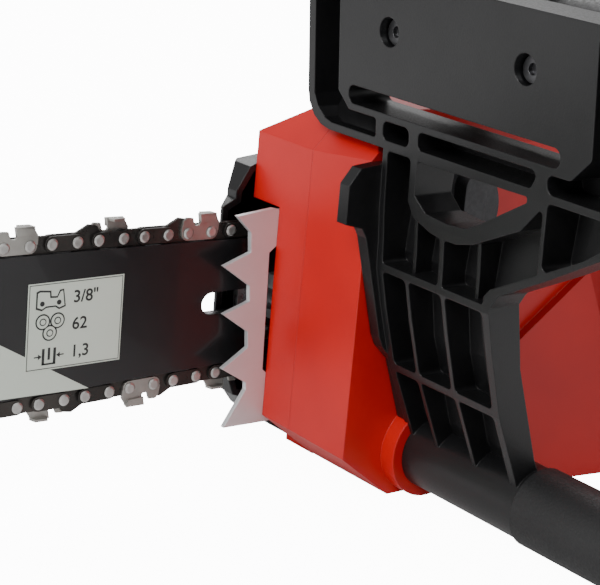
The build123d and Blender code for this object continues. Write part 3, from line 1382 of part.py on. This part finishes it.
with BuildPart() as rear_bracket:
    with BuildSketch(MOTOR_PLANE.offset(158.0)):
        Circle(44.0)
        Circle(11.02, mode=Mode.SUBTRACT)
        with PolarLocations(28.0, 6):
            SlotOverall(20.0, 12.0, rotation=90, mode=Mode.SUBTRACT)
    extrude(amount=6.0)
save(rear_bracket, "rear_bracket")
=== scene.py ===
"""Corded electric chainsaw, seen close up at the front of its body. Units are metres in the row's own frame."""

import json
import math

import bpy
from mathutils import Matrix, Vector


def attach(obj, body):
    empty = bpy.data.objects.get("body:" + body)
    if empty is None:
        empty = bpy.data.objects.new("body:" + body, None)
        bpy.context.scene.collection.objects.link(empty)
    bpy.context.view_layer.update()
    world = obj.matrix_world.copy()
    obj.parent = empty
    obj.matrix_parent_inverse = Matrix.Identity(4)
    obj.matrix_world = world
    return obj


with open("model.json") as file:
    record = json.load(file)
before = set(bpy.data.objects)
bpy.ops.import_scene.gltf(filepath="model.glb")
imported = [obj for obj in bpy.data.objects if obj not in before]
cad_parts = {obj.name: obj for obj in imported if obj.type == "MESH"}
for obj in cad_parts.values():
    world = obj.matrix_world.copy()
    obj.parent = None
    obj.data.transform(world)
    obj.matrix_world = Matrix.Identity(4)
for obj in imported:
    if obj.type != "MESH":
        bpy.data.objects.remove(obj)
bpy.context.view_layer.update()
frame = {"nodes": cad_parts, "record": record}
nodes = frame["nodes"]


# ---------------------------------------------------------------- materials
def new_material(name):
    """Empty node material: returns it with its tree, its shader and the object coordinates."""
    material = bpy.data.materials.new(name)
    material.use_nodes = True
    tree = material.node_tree
    shader = tree.nodes["Principled BSDF"]
    coords = tree.nodes.new("ShaderNodeTexCoord")
    return material, tree, shader, coords.outputs["Object"]


def noise(tree, coords, scale, detail=3.0, stretch=(1, 1, 1)):
    """Noise in object space, stretched along the axes where asked."""
    mapping = tree.nodes.new("ShaderNodeMapping")
    mapping.inputs["Scale"].default_value = stretch
    tree.links.new(coords, mapping.inputs["Vector"])
    texture = tree.nodes.new("ShaderNodeTexNoise")
    texture.inputs["Scale"].default_value = scale
    texture.inputs["Detail"].default_value = detail
    tree.links.new(mapping.outputs["Vector"], texture.inputs["Vector"])
    return texture.outputs["Fac"]


def ramp(tree, value, low, high, start=0.3, end=0.7):
    """Noise value mapped to a range."""
    node = tree.nodes.new("ShaderNodeMapRange")
    node.inputs["From Min"].default_value = start
    node.inputs["From Max"].default_value = end
    node.inputs["To Min"].default_value = low
    node.inputs["To Max"].default_value = high
    tree.links.new(value, node.inputs["Value"])
    return node.outputs["Result"]


def mix(tree, factor, first, second):
    """Colour between two constants."""
    node = tree.nodes.new("ShaderNodeMix")
    node.data_type = "RGBA"
    node.inputs["A"].default_value = (*first, 1)
    node.inputs["B"].default_value = (*second, 1)
    tree.links.new(factor, node.inputs["Factor"])
    return node.outputs["Result"]


def finish_of(name, dark, light, metallic, rough, grain, relief, edge, patch=35.0, stretch=(1, 1, 1), coat=0.0):
    """Plain finish: colour and gloss drift over the surface, a fine grain lifts it, and edges are slightly rounded."""
    material, tree, shader, coords = new_material(name)
    drift = noise(tree, coords, patch, 5.0)
    tree.links.new(mix(tree, ramp(tree, drift, 0, 1), dark, light), shader.inputs["Base Color"])
    fine = noise(tree, coords, grain, 2.0, stretch)
    tree.links.new(ramp(tree, fine, rough[0], rough[1]), shader.inputs["Roughness"])
    shader.inputs["Metallic"].default_value = metallic
    shader.inputs["Coat Weight"].default_value = coat
    rounded = tree.nodes.new("ShaderNodeBevel")
    rounded.samples = 4
    rounded.inputs["Radius"].default_value = edge
    bump = tree.nodes.new("ShaderNodeBump")
    bump.inputs["Strength"].default_value = relief
    bump.inputs["Distance"].default_value = 0.0002
    tree.links.new(fine, bump.inputs["Height"])
    tree.links.new(rounded.outputs["Normal"], bump.inputs["Normal"])
    tree.links.new(bump.outputs["Normal"], shader.inputs["Normal"])
    return material


FINISHES = {
    "red_plastic": finish_of(
        "red_plastic", (0.50, 0.004, 0.002), (0.57, 0.006, 0.003), 0.0, (0.34, 0.44), 1600, 0.08, 0.0007),
    "black_plastic": finish_of(
        "black_plastic", (0.004, 0.004, 0.0045), (0.007, 0.007, 0.0075), 0.0, (0.30, 0.42), 1400, 0.14, 0.0006),
    "grip_rubber": finish_of(
        "grip_rubber", (0.006, 0.006, 0.0065), (0.010, 0.010, 0.0105), 0.0, (0.46, 0.62), 1100, 0.45, 0.0004),
    "black_rubber": finish_of(
        "black_rubber", (0.015, 0.015, 0.016), (0.022, 0.022, 0.023), 0.0, (0.6, 0.8), 900, 0.3, 0.0003),
    "cap_plastic": finish_of(
        "cap_plastic", (0.035, 0.035, 0.038), (0.055, 0.055, 0.06), 0.0, (0.5, 0.7), 700, 0.9, 0.0005),
    "inner_black_plastic": finish_of(
        "inner_black_plastic", (0.012, 0.012, 0.012), (0.02, 0.02, 0.02), 0.0, (0.5, 0.65), 900, 0.1, 0.0003),
    "white_plastic": finish_of(
        "white_plastic", (0.7, 0.7, 0.68), (0.8, 0.8, 0.78), 0.0, (0.4, 0.5), 900, 0.1, 0.0003),
    "milky_plastic": finish_of(
        "milky_plastic", (0.6, 0.58, 0.5), (0.7, 0.68, 0.6), 0.0, (0.35, 0.5), 600, 0.1, 0.0004),
    "bar_paint": finish_of(
        "bar_paint", (0.005, 0.005, 0.006), (0.009, 0.009, 0.010), 0.0, (0.30, 0.40), 1500, 0.06, 0.0002, coat=0.2),
    "tube_paint": finish_of(
        "tube_paint", (0.012, 0.012, 0.012), (0.02, 0.02, 0.02), 0.0, (0.35, 0.5), 1300, 0.2, 0.0002),
    "blued_steel": finish_of(
        "blued_steel", (0.030, 0.028, 0.027), (0.075, 0.068, 0.062), 0.75, (0.26, 0.42), 700, 0.1, 0.0003),
    "cutter_steel": finish_of(
        "cutter_steel", (0.30, 0.29, 0.27), (0.46, 0.45, 0.42), 0.85, (0.30, 0.44), 900, 0.12, 0.00025, patch=90),
    "rivet_steel": finish_of(
        "rivet_steel", (0.40, 0.395, 0.38), (0.58, 0.57, 0.55), 0.85, (0.28, 0.42), 900, 0.1, 0.0003, patch=300),
    "spike_steel": finish_of(
        "spike_steel", (0.66, 0.66, 0.67), (0.78, 0.78, 0.79), 0.55, (0.36, 0.48), 500, 0.1, 0.00035,
        stretch=(1, 1, 7)),
    "plain_steel": finish_of(
        "plain_steel", (0.36, 0.36, 0.37), (0.48, 0.48, 0.49), 1.0, (0.25, 0.4), 600, 0.1, 0.0002),
    "bearing_steel": finish_of(
        "bearing_steel", (0.5, 0.5, 0.5), (0.6, 0.6, 0.6), 1.0, (0.15, 0.25), 600, 0.05, 0.0002),
    "screw_steel": finish_of(
        "screw_steel", (0.10, 0.10, 0.105), (0.17, 0.17, 0.175), 1.0, (0.3, 0.42), 700, 0.1, 0.0003),
    "lamination_steel": finish_of(
        "lamination_steel", (0.16, 0.16, 0.17), (0.24, 0.24, 0.25), 0.9, (0.35, 0.5), 2500, 0.2, 0.0001,
        stretch=(6, 1, 1)),
    "enamelled_wire": finish_of(
        "enamelled_wire", (0.38, 0.12, 0.04), (0.5, 0.18, 0.07), 0.3, (0.25, 0.4), 1500, 0.5, 0.0003,
        stretch=(1, 5, 5)),
    "copper_bars": finish_of(
        "copper_bars", (0.65, 0.32, 0.17), (0.78, 0.42, 0.24), 1.0, (0.2, 0.35), 900, 0.1, 0.0002),
    "holder_brass": finish_of(
        "holder_brass", (0.62, 0.43, 0.17), (0.74, 0.54, 0.25), 1.0, (0.25, 0.35), 900, 0.1, 0.0002),
    "carbon": finish_of(
        "carbon", (0.02, 0.02, 0.02), (0.04, 0.04, 0.04), 0.0, (0.6, 0.8), 1200, 0.2, 0.0002),
    "cast_aluminium": finish_of(
        "cast_aluminium", (0.45, 0.46, 0.47), (0.58, 0.59, 0.6), 0.95, (0.35, 0.5), 1000, 0.35, 0.0004),
}

slot_of = {entry["node"]: entry["material_slot"] for entry in frame["record"]["subparts"]}
for name, piece in nodes.items():
    for place in piece.material_slots:
        place.material = FINISHES[slot_of[name]]


# ---------------------------------------------------------------- print on the bar
def flat_material(name, colour, rough):
    """One colour, with a slight drift in its gloss."""
    material, tree, shader, coords = new_material(name)
    shader.inputs["Base Color"].default_value = (*colour, 1)
    tree.links.new(ramp(tree, noise(tree, coords, 900), rough - 0.05, rough + 0.05), shader.inputs["Roughness"])
    return material


PALE = flat_material("label_pale", (0.62, 0.68, 0.60), 0.42)
INK = flat_material("label_ink", (0.02, 0.022, 0.022), 0.5)
BAR_FACE = -0.00205


def plate(name, outline, material, base, thickness=0.00006):
    """Thin film on the bar's left face from (X, Z) points in millimetres."""
    count = len(outline)
    near = [(x / 1000, base - thickness, z / 1000) for x, z in outline]
    far = [(x / 1000, base, z / 1000) for x, z in outline]
    faces = [tuple(range(count)), tuple(reversed(range(count, 2 * count)))]
    faces += [(i, i + count, (i + 1) % count + count, (i + 1) % count) for i in range(count)]
    mesh = bpy.data.meshes.new(name)
    mesh.from_pydata(near + far, [], faces)
    mesh.materials.append(material)
    piece = bpy.data.objects.new(name, mesh)
    bpy.context.collection.objects.link(piece)
    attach(piece, "saw")
    return piece


def box_outline(x, z, width, height):
    return [(x, z), (x, z + height), (x + width, z + height), (x + width, z)]


def disc_outline(x, z, radius, sides=28):
    return [
        (x - radius * math.cos(i * 2 * math.pi / sides), z + radius * math.sin(i * 2 * math.pi / sides))
        for i in range(sides)
    ]


plate("bar_stripe", [(-134.2, 36.6), (-219.0, 84.6), (-262.0, 85.6), (-190.0, 37.4)], PALE, BAR_FACE - 0.00001)
plate("bar_label", box_outline(-160.4, 45.7, 38.2, 31.7), PALE, BAR_FACE - 0.00008)
LAYER = BAR_FACE - 0.00016
for index, (x, z, width, height) in enumerate((
    (-159.9, 46.2, 37.2, 0.22), (-159.9, 76.7, 37.2, 0.22), (-159.9, 46.2, 0.22, 30.7), (-122.9, 46.2, 0.22, 30.7),
)):
    plate(f"label_frame_{index}", box_outline(x, z, width, height), INK, LAYER)

# first sign: a cutter link; second: three rivets in a link; third: a chain in its groove
plate("sign_cutter", [
    (-157.2, 68.2), (-157.2, 74.4), (-155.8, 74.9), (-151.4, 74.4), (-151.2, 72.4), (-149.0, 72.2), (-148.0, 74.4),
    (-146.4, 74.6), (-145.4, 68.2), (-148.0, 67.4), (-149.6, 68.4), (-153.0, 68.4), (-154.8, 67.4),
], INK, LAYER)
plate("sign_cutter_face", [
    (-156.6, 68.8), (-156.6, 73.8), (-155.7, 74.2), (-152.0, 73.8), (-151.8, 71.8), (-148.8, 71.6), (-147.7, 73.8),
    (-146.8, 74.0), (-146.0, 68.7), (-148.0, 68.1), (-149.4, 69.0), (-153.2, 69.0), (-154.8, 68.1),
], PALE, LAYER - 0.00008)
for index, x in enumerate((-154.8, -148.2)):
    plate(f"sign_cutter_rivet_{index}", disc_outline(x, 70.0, 0.9), INK, LAYER - 0.00016)
for index, (x, z) in enumerate(((-154.2, 63.4), (-148.4, 63.4), (-151.3, 59.2))):
    plate(f"sign_links_{index}", disc_outline(x, z, 2.9), INK, LAYER)
    plate(f"sign_links_face_{index}", disc_outline(x, z, 2.35), PALE, LAYER - 0.00008)
    plate(f"sign_links_rivet_{index}", disc_outline(x, z, 1.35), INK, LAYER - 0.00016)
    plate(f"sign_links_hole_{index}", disc_outline(x, z, 0.95), PALE, LAYER - 0.00024)
plate("sign_gauge_left", box_outline(-153.9, 47.6, 1.0, 6.0), INK, LAYER)
plate("sign_gauge_right", box_outline(-149.4, 47.6, 1.0, 6.0), INK, LAYER)
plate("sign_gauge_foot", box_outline(-153.9, 47.6, 5.5, 0.6), INK, LAYER)
plate("sign_gauge_tang", box_outline(-151.6, 49.4, 0.9, 4.4), INK, LAYER)
plate("sign_gauge_arrow_left", [(-157.0, 50.6), (-157.0, 51.0), (-155.4, 51.0), (-155.4, 51.8), (-154.0, 50.8),
                                (-155.4, 49.8), (-155.4, 50.6)], INK, LAYER)
plate("sign_gauge_arrow_right", [(-145.2, 50.6), (-146.8, 50.6), (-146.8, 49.8), (-148.2, 50.8), (-146.8, 51.8),
                                 (-146.8, 51.0), (-145.2, 51.0)], INK, LAYER)
for name, words, z in (("number_pitch", '3/8"', 69.2), ("number_links", "62", 59.4), ("number_gauge", "1,3", 49.3)):
    text = bpy.data.curves.new(name, "FONT")
    text.body = words
    text.size = 0.0062
    text.extrude = 0.00003
    text.offset = 0.00008
    text.materials.append(INK)
    piece = bpy.data.objects.new(name, text)
    piece.matrix_world = Matrix.Translation((-0.1425, LAYER, z / 1000)) @ Matrix.Rotation(math.radians(90), 4, "X")
    bpy.context.collection.objects.link(piece)
    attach(piece, "saw")


# ---------------------------------------------------------------- stage, light and camera
def stage_plane(name, size, colour):
    """Flat square that belongs to the stage, not to the saw."""
    mesh = bpy.data.meshes.new(name)
    half = size / 2
    mesh.from_pydata([(-half, -half, 0), (half, -half, 0), (half, half, 0), (-half, half, 0)], [], [(0, 1, 2, 3)])
    mesh.materials.append(flat_material(name, colour, 0.7))
    piece = bpy.data.objects.new(name, mesh)
    bpy.context.collection.objects.link(piece)
    return piece


FLOOR_SIZE = 12.0
FLOOR_GLOW_SEEN = 12.0         # glow of the floor to camera rays; it gives no light
WORLD_LIGHT = 0.50             # strength of the world as light
WORLD_SEEN = 14.0              # strength of the world to camera rays


def strength_by_ray(tree, socket, as_light, as_seen):
    """One strength for lighting and another for camera rays: the background looks white and hides the shadow."""
    path = tree.nodes.new("ShaderNodeLightPath")
    strength = tree.nodes.new("ShaderNodeMapRange")
    strength.inputs["To Min"].default_value = as_light
    strength.inputs["To Max"].default_value = as_seen
    tree.links.new(path.outputs["Is Camera Ray"], strength.inputs["Value"])
    tree.links.new(strength.outputs["Result"], socket)


floor = stage_plane("floor", FLOOR_SIZE, (0.88, 0.88, 0.88))
floor_tree = floor.data.materials[0].node_tree
floor_shader = floor_tree.nodes["Principled BSDF"]
strength_by_ray(floor_tree, floor_shader.inputs["Emission Strength"], 0.0, FLOOR_GLOW_SEEN)
floor_shader.inputs["Emission Color"].default_value = (1, 1, 1, 1)


def area_light(name, place, target, size, power):
    """Soft rectangular light at a place, turned to its target."""
    light = bpy.data.lights.new(name, "AREA")
    light.shape = "RECTANGLE"
    light.size, light.size_y = size
    light.energy = power
    piece = bpy.data.objects.new(name, light)
    piece.location = place
    piece.rotation_euler = (Vector(target) - Vector(place)).to_track_quat("-Z", "Y").to_euler()
    bpy.context.collection.objects.link(piece)


area_light("key", (-1.3, -0.55, 1.25), (-0.02, -0.05, 0.09), (0.9, 0.7), 21)
area_light("side", (0.35, -1.6, 0.75), (0.0, -0.05, 0.09), (1.0, 0.8), 5)
area_light("front_low", (-1.5, 0.2, 0.35), (-0.03, -0.03, 0.08), (0.7, 0.7), 6)
area_light("rim", (0.6, 1.1, 1.2), (0.0, 0.0, 0.1), (1.0, 0.6), 12)

world = bpy.data.worlds.new("studio")
world.use_nodes = True
background = world.node_tree.nodes["Background"]
background.inputs["Color"].default_value = (1.0, 1.0, 1.0, 1.0)
strength_by_ray(world.node_tree, background.inputs["Strength"], WORLD_LIGHT, WORLD_SEEN)
bpy.context.scene.world = world

AZIMUTH, ELEVATION, ROLL = math.radians(38.391), math.radians(16.319), math.radians(5.040)
CAMERA_PLACE = (-0.48112, -0.55482, 0.26829)
forward = Vector((
    math.sin(AZIMUTH) * math.cos(ELEVATION), math.cos(AZIMUTH) * math.cos(ELEVATION), -math.sin(ELEVATION)
))
right = forward.cross(Vector((0, 0, 1))).normalized()
down = forward.cross(right)
turned_right = right * math.cos(ROLL) - down * math.sin(ROLL)
turned_down = right * math.sin(ROLL) + down * math.cos(ROLL)
camera_data = bpy.data.cameras.new("camera")
camera_data.lens = 116.96
camera_data.sensor_width = 36.0
camera_data.clip_start = 0.02
camera_data.clip_end = 30.0
camera = bpy.data.objects.new("camera", camera_data)
camera.matrix_world = Matrix((
    (turned_right.x, -turned_down.x, -forward.x, CAMERA_PLACE[0]),
    (turned_right.y, -turned_down.y, -forward.y, CAMERA_PLACE[1]),
    (turned_right.z, -turned_down.z, -forward.z, CAMERA_PLACE[2]),
    (0, 0, 0, 1),
))
bpy.context.collection.objects.link(camera)
bpy.context.scene.camera = camera
